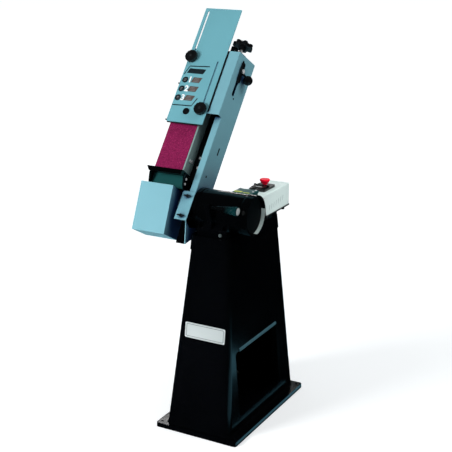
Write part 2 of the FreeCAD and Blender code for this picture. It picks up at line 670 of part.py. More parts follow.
def platen_frame():
    web = box(BELT_X0 + 2, SIDE_PLATE_X1, -69, -63, 92, 500)
    outline = [(-76.5, 96), (-76.5, 500), (4, 500), (4, 90), (-14, 70), (-22, 56), (-38, 52),
               (-56, 58), (-70, 78)]
    side = plate(outline, SIDE_PLATE_X0, SIDE_PLATE_X1)
    solid = web.fuse(side).removeSplitter()
    for n, l in frame_screw_points() + side_screw_points():
        solid = solid.cut(rod(SIDE_PLATE_X0 - 1, SIDE_PLATE_X1 + 1, n, l, 3.05))
    solid = solid.cut(rod(SIDE_PLATE_X0 - 1, SIDE_PLATE_X1 + 1, -34, 207, 3.5))
    for x, l in platen_screw_points():
        solid = solid.cut(pin_y(x, -70, -60, l, 3.05))
    return arm(solid)


def platen_screw_points():
    return [(x, l) for x in (-275.0, -199.0) for l in (120.0, 300.0, 470.0)]


def platen():
    face = box(BELT_X0 + 1, BELT_X1 - 1, -74.9, -69, 92, 500)
    lead = [e for e in face.Edges if e.BoundBox.YMax < -74.8 and e.BoundBox.XLength > 50]
    return arm(face.makeFillet(3, lead))


def arm_screws():
    right, back = V(1, 0, 0), V(0, 1, 0)
    parts = [bolt(SIDE_X, n, l, right, 3, 12, 10, 3.6) for n, l in hub_screw_points()]
    parts += [round_screw(SIDE_PLATE_X1 + 4, n, l, right, 3, 9.9, 5.5, 3) for n, l in frame_screw_points()]
    parts += [round_screw(x, -63, l, back, 3, 5.9, 5.5, 3) for x, l in platen_screw_points()]
    parts += [round_screw(SIDE_PLATE_X1, n, l, right, 3, 5.9, 6, 3) for n, l in side_screw_points()]
    parts += [bolt(x, BAR_N0, l, V(0, -1, 0), 3, 3.9, 10, 4) for x, l in bar_bolt_points()]
    parts += [round_screw(BRACKET_X + 4, n, l, right, 3, 3.9, 4.5, 2.5) for n, l in bracket_screw_points()]
    return group([arm(p) for p in parts])


def bracket_screw_points():
    return [(-92.0, 66.0), (-90.0, 48.0)]


def work_table():
    """Bent sheet rest across the belt: level top, turned-down front lip, bevelled left end."""
    top = box(-292, -134, -136, -80, TABLE_L - TABLE_T, TABLE_L)
    lip = plate([(-136, 85), (-136, 66), (-133, 66), (-133, 85)], -292, -140)
    solid = top.fuse(lip).removeSplitter()
    bevel = [V(-293, -140, 60), V(-292, -140, TABLE_L), V(-278, -140, 65.9), V(-293, -140, 60)]
    cut = Part.Face(Part.makePolygon(bevel))
    solid = solid.cut(cut.extrude(V(0, 20, 0)))
    top_edges = [e for e in solid.Edges if e.BoundBox.ZMin > TABLE_L - 0.1 and e.BoundBox.XLength > 50]
    fold = [e for e in top_edges if e.BoundBox.YMax < -135.9]
    return arm(solid.makeFillet(2.5, fold))


def table_brackets():
    """Two upright plates under the table; the right one reaches back to the arm's inner bar."""
    front = [(-112, 81), (-112, 66), (-99, 38), (-88, 30)]
    right_plate = plate(front + [(-62, 30), (-42, 58), (BAR_N0, 58), (BAR_N0, 79), (-79, 79), (-79, 81)],
                        BRACKET_X, BRACKET_X + 4)
    for n, l in bracket_screw_points():
        right_plate = right_plate.cut(rod(-170, -120, n, l, 3.05))
    left_plate = plate(front + [(-81, 30), (-81, 81)], -288, -284)
    return group([arm(right_plate), arm(left_plate)])


def lower_belt_guard():
    """Strip between the brackets that closes the belt's front under the table."""
    top = TABLE_L - TABLE_T - 0.3
    return arm(box(-284, BRACKET_X, STRIP_N0, STRIP_N1, STRIP_L0, top))


def behind_belt(l, offset):
    """Point (n, l) at an offset behind the belt's return run."""
    nn, nl = tangent_normal()
    return ((DRUM_R + offset - l * nl) / nn, l)


def rear_belt_guard():
    """Sheet behind the belt's return run, between dust box and cover."""
    out, t = 12.0, 2.0
    low, high = 44.0, 336.0
    r0, r1 = low + 60, high - 14
    back0, back1 = behind_belt(low, out + t), behind_belt(high, out + t)
    sheet = plate([behind_belt(low, out), behind_belt(high, out), back1, back0], LEFT_X, STRIP_X)
    left = plate([behind_belt(low, -20), behind_belt(high, -20), back1, back0], LEFT_X, LEFT_X + t)
    right_side = [(30, r0), (30, r1), behind_belt(r1, out + t), behind_belt(r0, out + t)]
    right = plate(right_side, STRIP_X - t, STRIP_X)
    return arm(sheet.fuse(left).fuse(right).removeSplitter())


def tension_spring():
    """Coil round the tension screw, between the carriage and the cover's top."""
    pitch, height, radius = 5.0, 15.0, 9.5
    helix = Part.makeHelix(pitch, height, radius)
    profile = Part.Wire(Part.makeCircle(1.3, V(radius, 0, 0), V(0, 1, 0.08)))
    coil = Part.Wire(helix).makePipeShell([profile], True, True)
    coil.translate(V(ROD_X, ROD_N, CARRIAGE_TOP + 2))
    return arm(coil)


# ---- idler and its carriage ----
def tension_carriage():
    block = box(-136, SIDE_X - SHEET - 0.1, -82, -32, 522, CARRIAGE_TOP)
    block = block.makeFillet(3, [e for e in block.Edges if e.BoundBox.XLength > 30])
    block = block.cut(rod(-200, -80, IDLER_N, IDLER_L, IDLER_SHAFT_R))
    return arm(block.cut(post(ROD_X, ROD_N, IDLER_L + 12, 700, ROD_R + GAP)))


def idler_shaft():
    return arm(rod(BELT_X0 - 3, -78, IDLER_N, IDLER_L, IDLER_SHAFT_R))


def idler_roller():
    return arm(ring(BELT_X0, BELT_X1, IDLER_N, IDLER_L, IDLER_R, 16))


def idler_bearings():
    return group([arm(ring(x, x + 12, IDLER_N, IDLER_L, 16, IDLER_SHAFT_R + GAP)) for x in (-292.0, -194.0)])


def tracking_lever():
    n, l = IDLER_N, IDLER_L
    body = slot_x(n, l - 50, l + 36, 22, SIDE_X + 0.2, SIDE_X + 6)
    body = body.fuse(rod(SIDE_X + 0.2, SIDE_X + 10, n, l, 13))
    start, end = V(SIDE_X + 7, n + 6, l - 4), V(-76, -24, 540)
    stem = Part.makeCylinder(4.5, (end - start).Length, start, end - start)
    solid = body.fuse(stem).cut(rod(-100, -70, n, l, IDLER_SHAFT_R + GAP)).cut(lever_ball())
    return arm(solid.removeSplitter())


def lever_ball():
    return Part.makeSphere(19, V(-70, -14, 533))


def lever_knob():
    return arm(lever_ball())


def star_knob():
    lobes = 7
    hub = post(0, 0, 0, 16, 30)
    for k in range(lobes):
        angle = 2 * math.pi * k / lobes
        hub = hub.fuse(post(31 * math.cos(angle), 31 * math.sin(angle), 0, 16, 9))
    hub = hub.removeSplitter()
    rims = [e for e in hub.Edges if e.BoundBox.ZLength < 0.01 and e.BoundBox.ZMin > 15.9]
    hub = hub.makeFillet(3, rims)
    neck = Part.makeCone(11, 16, 13, V(0, 0, -13), V(0, 0, 1))
    solid = hub.fuse(neck).removeSplitter()
    solid.translate(V(ROD_X, ROD_N, 648))
    return arm(solid.cut(post(ROD_X, ROD_N, 600, 658, ROD_R)))


def tension_rod():
    return arm(post(ROD_X, ROD_N, IDLER_L + 13, 658, ROD_R))


# ---- sliding belt guard ----
def guard_plate():
    y1 = COVER_N - 0.2
    solid = box(LEFT_X, GUARD_X1, y1 - GUARD_T, y1, GUARD_L0, GUARD_L1)
    for x, l in (UPPER_KNOB, LOWER_KNOB):
        half = STUD_R + 0.5
        slot = box(x - half, x + half, y1 - 10, y1 + 10, l, l + SLOT_TRAVEL)
        for end_l in (l, l + SLOT_TRAVEL):
            slot = slot.fuse(pin_y(x, y1 - 10, y1 + 10, end_l, half))
        solid = solid.cut(slot)
    through = [e for e in solid.Edges if e.BoundBox.YLength > 2.5 and e.BoundBox.XLength < 0.1]
    through = [e for e in through if e.BoundBox.ZLength < 0.1]
    corners = [e for e in through if e.BoundBox.XMin < LEFT_X + 1 or e.BoundBox.XMax > GUARD_X1 - 1]
    return arm(solid.makeFillet(4, corners))


def guard_plug():
    front = COVER_N - 0.2 - GUARD_T
    knob = pin_y(-231, front - 5, front, 335, PLUG_R)
    rim = [e for e in knob.Edges if e.BoundBox.YMax < front - 4.9]
    return arm(knob.makeFillet(2, rim))


def guard_knob(x, l):
    front = COVER_N - 0.2 - GUARD_T - 0.1
    head = pin_y(x, front - 17, front - 4, l, KNOB_R)
    reach = KNOB_R + 2.5
    for k in range(12):
        angle = math.radians(30 * k)
        groove = pin_y(x + reach * math.cos(angle), front - 20, front, l + reach * math.sin(angle), 4)
        head = head.cut(groove)
    collar = pin_y(x, front - 5, front, l, 13)
    stud = pin_y(x, front - 5, COVER_N + 14, l, STUD_R)
    return arm(head.fuse(collar).fuse(stud).removeSplitter())


NODES = {
    "base_plate": base_plate,
    "stand_column": stand_column,
    "stand_cap": stand_cap,
    "motor_cradle": motor_cradle,
    "stand_bolts": stand_bolts,
    "motor_housing": motor_housing,
    "drive_end_shield": drive_end_shield,
    "rear_end_shield": rear_end_shield,
    "motor_bearings": motor_bearings,
    "stator_core": stator_core,
    "stator_windings": stator_windings,
    "disc_guard_cup": disc_guard_cup,
    "terminal_box": terminal_box,
    "terminal_box_lid": terminal_box_lid,
    "switch_box_shell": switch_box_shell,
    "switch_box_base": switch_box_base,
    "switch_body": switch_body,
    "motor_cable": motor_cable,
    "small_screws": small_screws,
    "clamp_handle": clamp_handle,
    "stop_button": stop_button,
    "start_button": start_button,
    "switch_flap": switch_flap,
    "motor_shaft": motor_shaft,
    "rotor_core": rotor_core,
    "drive_drum": drive_drum,
    "drum_rubber": drum_rubber,
    "disc_plate": disc_plate,
    "sanding_disc": sanding_disc,
    "arm_panel": arm_panel,
    "pivot_plate": pivot_plate,
    "upper_cover": upper_cover,
    "rod_bracket": rod_bracket,
    "lower_panel": lower_panel,
    "wing_screws": wing_screws,
    "arm_end_plate": arm_end_plate,
    "arm_hub": arm_hub,
    "dust_box": dust_box,
    "platen_mount": platen_mount,
    "platen_frame": platen_frame,
    "platen": platen,
    "arm_screws": arm_screws,
    "sanding_belt": sanding_belt,
    "work_table": work_table,
    "table_brackets": table_brackets,
    "lower_belt_guard": lower_belt_guard,
    "rear_belt_guard": rear_belt_guard,
    "tension_spring": tension_spring,
    "tension_carriage": tension_carriage,
    "idler_shaft": idler_shaft,
    "idler_roller": idler_roller,
    "idler_bearings": idler_bearings,
    "tracking_lever": tracking_lever,
    "lever_knob": lever_knob,
    "star_knob": star_knob,
    "tension_rod": tension_rod,
    "guard_plate": guard_plate,
    "guard_plug": guard_plug,
    "guard_knob_upper": lambda: guard_knob(*UPPER_KNOB),
    "guard_knob_lower": lambda: guard_knob(*LOWER_KNOB),
}


def main():
    os.makedirs("parts", exist_ok=True)
    for name, build in NODES.items():
        build().exportStep(os.path.join("parts", name + ".step"))


main()
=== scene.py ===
import json
import math

import bmesh
import bpy
from mathutils import Matrix, Vector


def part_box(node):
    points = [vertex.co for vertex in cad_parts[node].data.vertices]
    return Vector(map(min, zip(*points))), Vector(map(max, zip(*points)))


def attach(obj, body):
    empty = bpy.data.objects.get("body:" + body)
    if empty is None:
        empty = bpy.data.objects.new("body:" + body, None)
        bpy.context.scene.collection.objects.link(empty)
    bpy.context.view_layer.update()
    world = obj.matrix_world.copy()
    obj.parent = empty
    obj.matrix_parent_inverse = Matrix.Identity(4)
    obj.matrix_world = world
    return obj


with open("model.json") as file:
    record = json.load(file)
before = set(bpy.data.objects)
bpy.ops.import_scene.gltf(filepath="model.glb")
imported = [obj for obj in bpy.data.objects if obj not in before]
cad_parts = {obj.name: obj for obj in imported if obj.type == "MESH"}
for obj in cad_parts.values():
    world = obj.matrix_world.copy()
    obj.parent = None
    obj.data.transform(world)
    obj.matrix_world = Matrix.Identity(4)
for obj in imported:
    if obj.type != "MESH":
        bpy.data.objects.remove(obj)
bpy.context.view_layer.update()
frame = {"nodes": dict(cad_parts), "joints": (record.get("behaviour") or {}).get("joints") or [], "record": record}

# Belt disc sander: the imported CAD carries the shapes. This script adds finishes, printed marks, painted shade
# for screw recesses and small trim, all placed from the frame's joints and nodes. Metres, +Z up, -Y to the
# operator.

NODES = frame["nodes"]
JOINTS = {j["name"]: j for j in frame["joints"]}
SLOTS = {s["node"]: s["material_slot"] for s in frame["record"]["subparts"]}
MM = 0.001

PIVOT = Vector(JOINTS["arm_tilt"]["pos_m"])
ALONG = Vector(JOINTS["guard_slide"]["axis"]).normalized()
INTO = Vector(JOINTS["guard_knob_upper_turn"]["axis"]).normalized()
ACROSS = Vector((1.0, 0.0, 0.0))
UPWARD = Vector((0.0, 0.0, 1.0))
BACKWARD = Vector((0.0, 1.0, 0.0))
DECAL_T = 0.15 * MM
HATCH_TOP = 322.0 * MM
HATCH_LIP_LENGTH = 300.0 * MM
NAMEPLATE_X, NAMEPLATE_Z = 5.0 * MM, 392.0 * MM
COLUMN_CORNER = 20.0 * MM


# ---- places ----
def arm_point(x, n, l):
    """World place of (across, into the arm, along the arm), in metres from the motor axis."""
    return Vector((x, PIVOT.y, PIVOT.z)) + INTO * n + ALONG * l


def arm_box(node):
    """Lowest and highest (x, n, l) of a node in the arm's own axes."""
    rel = [v.co - Vector((0.0, PIVOT.y, PIVOT.z)) for v in NODES[node].data.vertices]
    local = [(r.x, r.dot(INTO), r.dot(ALONG)) for r in rel]
    low = Vector([min(p[i] for p in local) for i in range(3)])
    high = Vector([max(p[i] for p in local) for i in range(3)])
    return low, high


# ---- materials ----
def linear(*rgb):
    """Linear colour, with alpha, of an 8-bit sRGB colour."""
    return tuple(c / 255 / 12.92 if c <= 10 else ((c / 255 + 0.055) / 1.055) ** 2.4 for c in rgb) + (1.0,)


def toned(tone, gain, lift=0.0):
    """A linear colour made darker or lighter."""
    return tuple(min(1.0, c * gain + lift) for c in tone[:3]) + (1.0,)


class Shader:
    """Node tree with short ways to add and join nodes."""

    def __init__(self, name):
        self.material = bpy.data.materials.new(name)
        self.material.use_nodes = True
        self.tree = self.material.node_tree
        self.bsdf = self.tree.nodes["Principled BSDF"]
        coords = self.node("ShaderNodeTexCoord")
        self.place = coords.outputs["Object"]

    def node(self, kind, **values):
        made = self.tree.nodes.new(kind)
        for key, value in values.items():
            if hasattr(made, key):
                setattr(made, key, value)
            else:
                made.inputs[key.replace("_", " ")].default_value = value
        return made

    def link(self, a, b):
        self.tree.links.new(a, b)

    def noise(self, scale, detail=3.0, roughness=0.5, vector=None):
        made = self.node("ShaderNodeTexNoise", Scale=scale, Detail=detail, Roughness=roughness)
        self.link(vector or self.place, made.inputs["Vector"])
        return made.outputs["Fac"]

    def ramp(self, fac, low, high, a, b):
        made = self.node("ShaderNodeMapRange")
        for socket, value in (("From Min", low), ("From Max", high), ("To Min", a), ("To Max", b)):
            made.inputs[socket].default_value = value
        self.link(fac, made.inputs["Value"])
        return made.outputs["Result"]

    def mix(self, fac, a, b):
        made = self.node("ShaderNodeMix", data_type="RGBA")
        for index, value in ((0, fac), (6, a), (7, b)):
            if isinstance(value, bpy.types.NodeSocket):
                self.link(value, made.inputs[index])
            else:
                made.inputs[index].default_value = value
        return made.outputs[2]

    def bump(self, height, strength, distance, normal=None):
        made = self.node("ShaderNodeBump", Strength=strength, Distance=distance)
        self.link(height, made.inputs["Height"])
        if normal is not None:
            self.link(normal, made.inputs["Normal"])
        return made.outputs["Normal"]

    def soft_edges(self, radius):
        return self.node("ShaderNodeBevel", samples=4, Radius=radius).outputs["Normal"]

    def edge(self, radius):
        """About 1 on a convex edge and 0 on a flat face."""
        bevel = self.soft_edges(radius)
        geometry = self.node("ShaderNodeNewGeometry")
        dot = self.node("ShaderNodeVectorMath", operation="DOT_PRODUCT")
        self.link(bevel, dot.inputs[0])
        self.link(geometry.outputs["Normal"], dot.inputs[1])
        return self.ramp(dot.outputs["Value"], 0.98, 0.80, 0.0, 1.0)

    def set(self, **values):
        for key, value in values.items():
            socket = self.bsdf.inputs[key.replace("_", " ")]
            if isinstance(value, bpy.types.NodeSocket):
                self.link(value, socket)
            else:
                socket.default_value = value


def enamel(name, base, rough, wear=(0, 0, 0), peel=0.12, coat=0.3, specular=0.5, drift=0.06, recess=None):
    """Sprayed enamel: slow colour drift, orange peel, thin paint along edges, and, where a recess colour is given,
    painted shade: that colour mixed in where ambient occlusion finds hollows.
    """
    s = Shader(name)
    tone = linear(*base)
    slow = s.ramp(s.noise(6.0), 0.35, 0.65, 0.0, 1.0)
    colour = s.mix(slow, toned(tone, 1 - drift), toned(tone, 1 + drift))
    worn = s.node("ShaderNodeMath", operation="MULTIPLY")
    s.link(s.edge(1.2 * MM), worn.inputs[0])
    s.link(s.ramp(s.noise(90.0, 4.0), 0.42, 0.62, 0.0, 0.55), worn.inputs[1])
    colour = s.mix(worn.outputs[0], colour, linear(*wear))
    # Painted shade: the recess colour darkens the enamel wherever nearby parts occlude it.
    if recess:
        occlusion_shade = s.node("ShaderNodeAmbientOcclusion", samples=6, Distance=0.2)
        colour = s.mix(s.ramp(occlusion_shade.outputs["AO"], 0.45, 0.86, 0.0, 1.0), linear(*recess), colour)
    normal = s.bump(s.noise(420.0, 2.0), peel, 0.4 * MM, s.soft_edges(0.9 * MM))
    s.set(Base_Color=colour, Roughness=s.ramp(s.noise(14.0), 0.3, 0.7, rough - 0.04, rough + 0.06),
          Coat_Weight=coat, Coat_Roughness=0.12, Specular_IOR_Level=specular, Normal=normal)
    return s.material


def metal(name, base, rough, stretch=(1.0, 1.0, 1.0), scale=60.0, grooves=0.15, metallic=1.0):
    """Machined or drawn metal: fine marks stretched along one direction and slight tarnish."""
    s = Shader(name)
    mapping = s.node("ShaderNodeMapping", Scale=stretch)
    s.link(s.place, mapping.inputs["Vector"])
    marks = s.noise(scale, 4.0, 0.6, mapping.outputs["Vector"])
    tone = linear(*base)
    colour = s.mix(s.ramp(s.noise(22.0, 4.0), 0.35, 0.7, 0.0, 1.0), tone, toned(tone, 0.72))
    s.set(Base_Color=colour, Metallic=metallic, Roughness=s.ramp(marks, 0.3, 0.7, rough - 0.06, rough + 0.1),
          Normal=s.bump(marks, grooves, 0.2 * MM, s.soft_edges(0.5 * MM)))
    return s.material


def moulded(name, base, rough, grain=0.12, specular=0.45):
    """Moulded plastic: fine spark-eroded grain, rubbed smoother and paler on its edges."""
    s = Shader(name)
    tone = linear(*base)
    rubbed = toned(tone, 1.5, 0.012)
    blotch = s.ramp(s.noise(40.0), 0.35, 0.65, 0.0, 0.25)
    colour = s.mix(blotch, s.mix(s.edge(0.8 * MM), tone, rubbed), rubbed)
    s.set(Base_Color=colour, Roughness=s.ramp(s.noise(120.0), 0.3, 0.7, rough - 0.05, rough + 0.08),
          Specular_IOR_Level=specular,
          Normal=s.bump(s.noise(900.0, 2.0), grain, 0.15 * MM, s.soft_edges(0.6 * MM)))
    return s.material


def grit(name, base, grain_mm, contrast=0.35, belt=False):
    """Coated abrasive: packed grains of uneven tone, with loaded patches. A belt is also speckled."""
    s = Shader(name)
    cells = s.node("ShaderNodeTexVoronoi", Scale=1.0 / (grain_mm * MM))
    s.link(s.place, cells.inputs["Vector"])
    tone = linear(*base)
    low, high = toned(tone, 1 - contrast), toned(tone, 1 + contrast, 0.001)
    split = s.node("ShaderNodeSeparateColor")
    s.link(cells.outputs["Color"], split.inputs["Color"])
    colour = s.mix(split.outputs["Red"], low, high)
    patch = s.ramp(s.noise(9.0, 4.0), 0.45, 0.7, 0.0, 0.3)
    colour = s.mix(patch, colour, toned(tone, 0.8))
    if belt:
        for scale, speckle in ((230.0, toned(tone, 1.7, 0.02)), (170.0, toned(tone, 0.45))):
            colour = s.mix(s.ramp(s.noise(scale, 2.0, 0.7), 0.52, 0.68, 0.0, 0.8), colour, speckle)
    s.set(Base_Color=colour, Roughness=0.82, Specular_IOR_Level=0.25,
          Normal=s.bump(cells.outputs["Distance"], 0.5 if belt else 0.7, grain_mm * 0.5 * MM))
    return s.material


def rubber(name, base):
    """Matt rubber with a dusty bloom."""
    s = Shader(name)
    tone = linear(*base)
    colour = s.mix(s.ramp(s.noise(30.0, 4.0), 0.4, 0.7, 0.0, 0.7), tone, toned(tone, 1.6, 0.01))
    s.set(Base_Color=colour, Roughness=0.75, Specular_IOR_Level=0.3,
          Normal=s.bump(s.noise(500.0), 0.25, 0.3 * MM))
    return s.material


def printed(name, base, rough=0.45):
    """Screen-printed ink: slightly uneven coverage."""
    s = Shader(name)
    tone = linear(*base)
    thin = toned(tone, 1.12, 0.012)
    s.set(Base_Color=s.mix(s.ramp(s.noise(260.0, 4.0), 0.45, 0.7, 0.0, 0.8), tone, thin),
          Roughness=s.ramp(s.noise(80.0), 0.3, 0.7, rough, rough + 0.1),
          Normal=s.bump(s.noise(700.0), 0.05, 0.1 * MM))
    return s.material


def handle_enamel():
    """Gloss black, with a painted reflection: a green tint that grows towards the capped end of the handle, where
    light is caught.
    """
    s = Shader("handle_black_painted_reflection")
    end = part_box("clamp_handle")[1].x
    along = s.node("ShaderNodeSeparateXYZ")
    s.link(s.place, along.inputs[0])
    # Painted reflection: the green tint rises over the last 52 to 14 mm before the capped end.
    painted_reflection = s.ramp(along.outputs["X"], end - 52 * MM, end - 14 * MM, 0.0, 1.0)
    black = s.mix(s.ramp(s.noise(40.0), 0.35, 0.65, 0.0, 1.0), linear(2, 3, 4), linear(5, 7, 8))
    s.set(Base_Color=s.mix(painted_reflection, black, linear(8, 46, 49)),
          Roughness=s.ramp(s.noise(120.0), 0.3, 0.7, 0.22, 0.32), Specular_IOR_Level=0.3, Coat_Weight=0.3,
          Normal=s.bump(s.noise(420.0, 2.0), 0.1, 0.3 * MM, s.soft_edges(0.8 * MM)))
    return s.material


def make_finishes():
    return {
        "stand_paint": enamel("stand_gloss_black", (3, 4, 6), 0.2, (30, 34, 38), 0.1, 0.3, 0.3, 0.15),
        "motor_paint": enamel("motor_gloss_black", (2, 3, 4), 0.18, (30, 34, 38), 0.12, 0.3, 0.25, 0.15),
        "handle_paint": handle_enamel(),
        "zinc_steel": metal("bright_zinc", (246, 247, 248), 0.34, metallic=0.15),
        "dull_zinc": metal("dulled_zinc", (128, 144, 144), 0.42, metallic=0.5),
        "bearing_steel": metal("ground_steel", (214, 216, 220), 0.28, (1, 12, 12), metallic=0.4),
        "lamination": metal("laminated_steel", (120, 122, 126), 0.45, (40, 1, 1), 120.0, 0.5),
        "winding": metal("copper_winding", (176, 96, 52), 0.35, (1, 30, 30), 200.0, 0.5),
        "grey_cover": enamel("satin_dark_green", (30, 84, 84), 0.42, (120, 128, 128), 0.12, 0.1),
        "switch_grey": enamel("satin_light_grey", (226, 242, 238), 0.4, (150, 156, 156), 0.1, 0.1,
                              drift=0.02),
        "black_plastic": moulded("moulded_black", (13, 14, 16), 0.34),
        "cable_rubber": rubber("cable_rubber", (16, 17, 19)),
        "drum_rubber": rubber("drum_rubber", (30, 30, 32)),
        "aluminium": metal("turned_aluminium", (196, 199, 203), 0.32, (60, 1, 1), 50.0, 0.35),
        "abrasive_black": grit("black_abrasive", (4, 4, 5), 0.5),
        "abrasive_red": grit("maroon_abrasive", (136, 28, 78), 0.45, 0.22, True),
        # Arm enamel carries painted shade: a dark navy mixed in where ambient occlusion finds hollows and gaps
        # between parts.
        "arm_blue": enamel("satin_pale_blue", (124, 178, 191), 0.36, (96, 112, 118), coat=0.12,
                           drift=0.02, recess=(12, 44, 92)),
        "guard_blue": enamel("satin_guard_blue", (112, 174, 186), 0.36, (100, 116, 120), coat=0.12,
                             drift=0.02),
        "platen_grey": enamel("satin_green_grey", (136, 162, 160), 0.45, (150, 152, 150), 0.12, 0.05),
        "platen_steel": metal("graphite_steel", (92, 94, 97), 0.42, (1, 1, 20), 50.0, 0.25),
        "stop_red": moulded("stop_red", (255, 14, 50), 0.3, 0.05, 0.15),
        "start_green": moulded("start_green", (30, 132, 66), 0.3, 0.05, 0.5),
        "plate_grey": enamel("satin_plate_grey", (176, 184, 184), 0.4, (196, 200, 200), 0.08, 0.15,
                             drift=0.03),
        "flap_grey": moulded("flap_light_grey", (205, 210, 209), 0.32, 0.06, 0.5),
    }


# nodes whose finish is not the one of their slot
FINISH_OF = {"stand_bolts": "dull_zinc", "clamp_handle": "handle_paint", "switch_flap": "black_plastic",
             "start_button": "flap_grey"}


def dress_nodes(finishes):
    """Give every CAD node its detailed finish."""
    for name, node in NODES.items():
        node.data.materials.clear()
        node.data.materials.append(finishes[FINISH_OF.get(name, SLOTS[name])])


# ---- mesh pieces ----
def shown(name, data):
    """New object in the scene."""
    made = bpy.data.objects.new(name, data)
    bpy.context.scene.collection.objects.link(made)
    return made


def to_object(name, bm, material, body, smooth=False):
    """Finished piece from a mesh, riding on its body."""
    mesh = bpy.data.meshes.new(name)
    bmesh.ops.recalc_face_normals(bm, faces=bm.faces)
    bm.to_mesh(mesh)
    bm.free()
    if smooth:
        for face in mesh.polygons:
            face.use_smooth = True
    piece = shown(name, mesh)
    mesh.materials.append(material)
    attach(piece, body)
    return piece


def frame_matrix(origin, across, up):
    """Axes of a flat mark: X across, Y up, Z out of the face."""
    a, u = Vector(across).normalized(), Vector(up).normalized()
    out = a.cross(u)
    return Matrix.Translation(origin) @ Matrix((a, u, out)).transposed().to_4x4()


def add_slab(bm, outline, thickness, matrix):
    """Closed thin slab with an outline of (across, up), standing out of the face by its thickness."""
    low = [bm.verts.new(matrix @ Vector((x, y, 0.0))) for x, y in outline]
    high = [bm.verts.new(matrix @ Vector((x, y, thickness))) for x, y in outline]
    bm.faces.new(high)
    bm.faces.new(low[::-1])
    count = len(outline)
    for i in range(count):
        j = (i + 1) % count
        bm.faces.new((low[i], low[j], high[j], high[i]))


def round_rect(cx, cy, w, h, r, steps=5, shear=0.0):
    """Outline of a rectangle with round corners, leaning by its shear."""
    points = []
    for k, (sx, sy) in enumerate(((1, 1), (-1, 1), (-1, -1), (1, -1))):
        for i in range(steps + 1):
            angle = math.pi / 2 * (k + i / steps)
            y = cy + sy * (h / 2 - r) + r * math.sin(angle)
            points.append((cx + sx * (w / 2 - r) + r * math.cos(angle) + shear * (y - cy), y))
    return points


def disc_outline(cx, cy, r, steps=28):
    return [(cx + r * math.cos(2 * math.pi * i / steps), cy + r * math.sin(2 * math.pi * i / steps))
            for i in range(steps)]


def stroke(points, width):
    """Outline of a line of even width through points."""
    left, right = [], []
    for i, p in enumerate(points):
        before, after = Vector(points[max(i - 1, 0)]), Vector(points[min(i + 1, len(points) - 1)])
        side = (after - before).normalized()
        side = Vector((-side.y, side.x)) * width / 2
        left.append((p[0] + side.x, p[1] + side.y))
        right.append((p[0] - side.x, p[1] - side.y))
    return right + left[::-1]


def revolve(name, profile, origin, axis, material, body, steps=40):
    """Turned piece: a profile of (radius, height) about an axis."""
    turn = Vector(axis).normalized().to_track_quat("Z", "Y").to_matrix().to_4x4()
    place = Matrix.Translation(origin) @ turn
    bm = bmesh.new()
    rings = []
    for radius, height in profile:
        if radius < 1e-6:
            rings.append([bm.verts.new(place @ Vector((0.0, 0.0, height)))])
            continue
        angles = [2 * math.pi * i / steps for i in range(steps)]
        rings.append([bm.verts.new(place @ Vector((radius * math.cos(a), radius * math.sin(a), height)))
                      for a in angles])
    for low, high in zip(rings, rings[1:]):
        for i in range(steps):
            j = (i + 1) % steps
            corners = [ring[k % len(ring)] for ring, k in ((low, i), (low, j), (high, j), (high, i))]
            corners = list(dict.fromkeys(corners))
            if len(corners) > 2:
                bm.faces.new(corners)
    return to_object(name, bm, material, body, smooth=True)


def islands(node):
    """Vertex places of each separate solid of a node."""
    bm = bmesh.new()
    bm.from_mesh(NODES[node].data)
    bmesh.ops.remove_doubles(bm, verts=bm.verts, dist=0.02 * MM)
    seen, found = set(), []
    for start in bm.verts:
        if start in seen:
            continue
        queue, group = [start], []
        seen.add(start)
        while queue:
            v = queue.pop()
            group.append(v.co.copy())
            for e in v.link_edges:
                o = e.other_vert(v)
                if o not in seen:
                    seen.add(o)
                    queue.append(o)
        found.append(group)
    bm.free()
    return found


def head_of(points, axis):
    """Centre and radius of a screw's outer face, and the way it points, for a screw along an axis."""
    heights = [p.dot(axis) for p in points]
    low, high = min(heights), max(heights)
    middle = sum(points, Vector()) / len(points)

    def reach(side):
        near = [p for p, h in zip(points, heights) if abs(h - side) < 0.35 * (high - low)]
        return max(((p - middle) - axis * (p - middle).dot(axis)).length for p in near)

    outward = axis if reach(high) >= reach(low) else -axis
    top = high if outward is axis else low
    centre = middle + axis * (top - middle.dot(axis))
    return centre, max(reach(high), reach(low)), outward


def along_axis(points, axes):
    """The axis a turned solid lies along: the one across which its two widths are equal."""
    spans = [max(p.dot(a) for p in points) - min(p.dot(a) for p in points) for a in axes]
    uneven = [abs(spans[(i + 1) % 3] - spans[(i + 2) % 3]) for i in range(3)]
    return axes[uneven.index(min(uneven))]


def cross_recesses(node, body, axes):
    """Cross slots in the heads of a node's round screws, as one piece: flat dark marks, painted shade standing in
    for the hollow of each slot.
    """
    bm = bmesh.new()
    for points in islands(node):
        centre, radius, out = head_of(points, along_axis(points, axes))
        rim = [p for p in points if abs((p - centre).dot(out)) < 0.05 * MM]
        if len(rim) < 10:
            continue
        across = out.orthogonal().normalized()
        across = across * math.cos(0.5) + out.cross(across) * math.sin(0.5)
        place = frame_matrix(centre + out * 0.02 * MM, across, out.cross(across))
        arm, half = radius * 0.45, radius * 0.07
        outline = [(arm, -half), (arm, half), (half, half), (half, arm), (-half, arm), (-half, half),
                   (-arm, half), (-arm, -half), (-half, -half), (-half, -arm), (half, -arm), (half, -half)]
        add_slab(bm, outline, 0.06 * MM, place)
    return to_object(node + "_recesses", bm, INKS["recess"], body)


